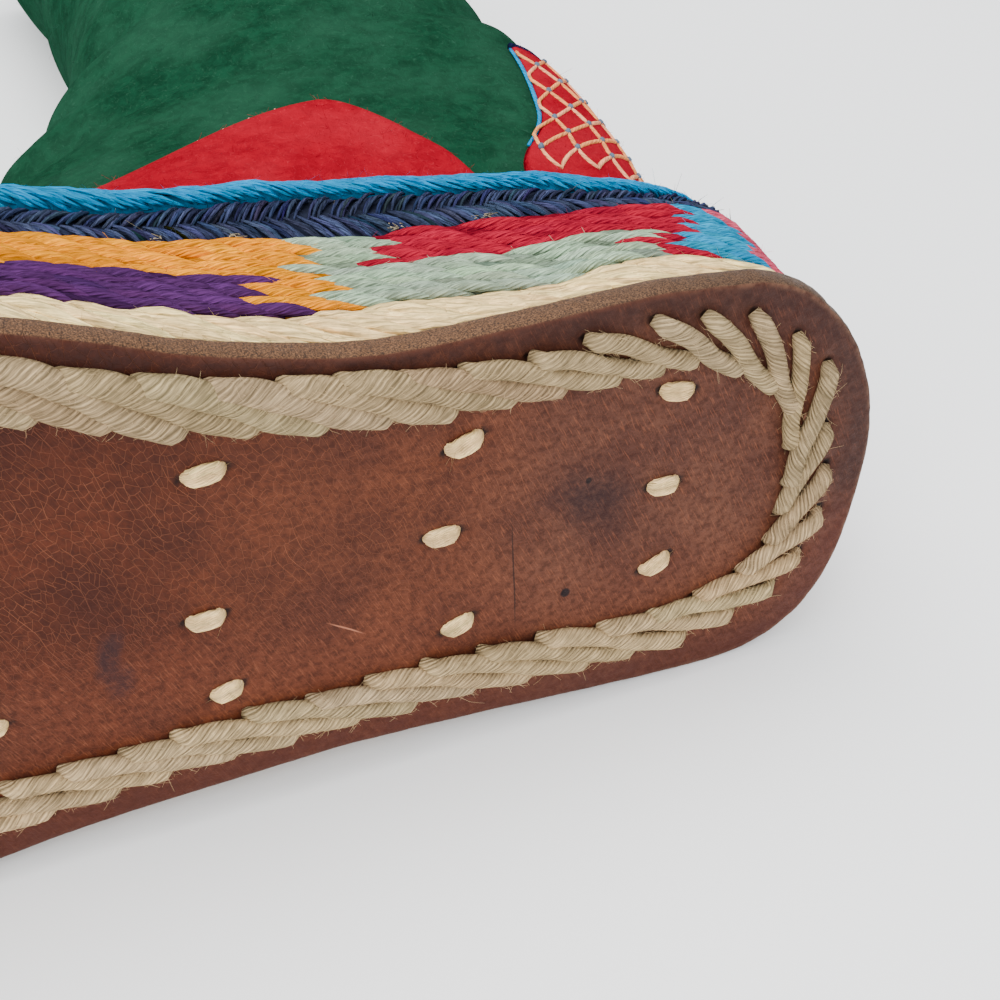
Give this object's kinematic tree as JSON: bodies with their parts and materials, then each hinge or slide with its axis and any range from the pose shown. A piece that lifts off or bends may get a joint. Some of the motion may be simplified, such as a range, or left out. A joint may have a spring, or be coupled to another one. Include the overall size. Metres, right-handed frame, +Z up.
{
  "type": "felt boot",
  "caption": "Felt boot lying on its side: corded leather outsole, deep yarn-woven side band with whipped edge, hollow felt upper and shaft with appliqué panels.",
  "frame": {"origin": "on the floor, under the middle of the lying boot's box", "axes": "+Z up from the floor to the boot's inner side, +X towards the heel, +Y from the tread to the collar"},
  "size_m": [0.265, 0.3024, 0.0992],
  "materials": {
    "sole_leather": "worn vegetable-tanned leather with fine crackle",
    "hemp_cord": "plied hemp cord",
    "insole_felt": "undyed pressed felt",
    "cream_cord": "loosely twisted undyed cotton",
    "woven_yarn": "rows of twined coloured yarn",
    "navy_yarn": "flat braid of wool yarn",
    "turquoise_yarn": "satin-stitched thread",
    "green_felt": "thick fulled wool felt",
    "red_felt": "fulled wool felt",
    "navy_felt": "fulled wool felt"
  },
  "bodies": {
    "root": {"outsole": "sole_leather", "border_stitching": "hemp_cord", "insole": "insole_felt", "base_cords": "cream_cord", "woven_band": "woven_yarn", "seam_braid": "navy_yarn", "edge_piping": "turquoise_yarn", "upper": "green_felt", "side_panel_inner": "red_felt", "side_panel_outer": "red_felt", "heel_counter_inner": "red_felt", "heel_counter_outer": "red_felt", "back_strip": "navy_felt"}
  },
  "joints": []
}
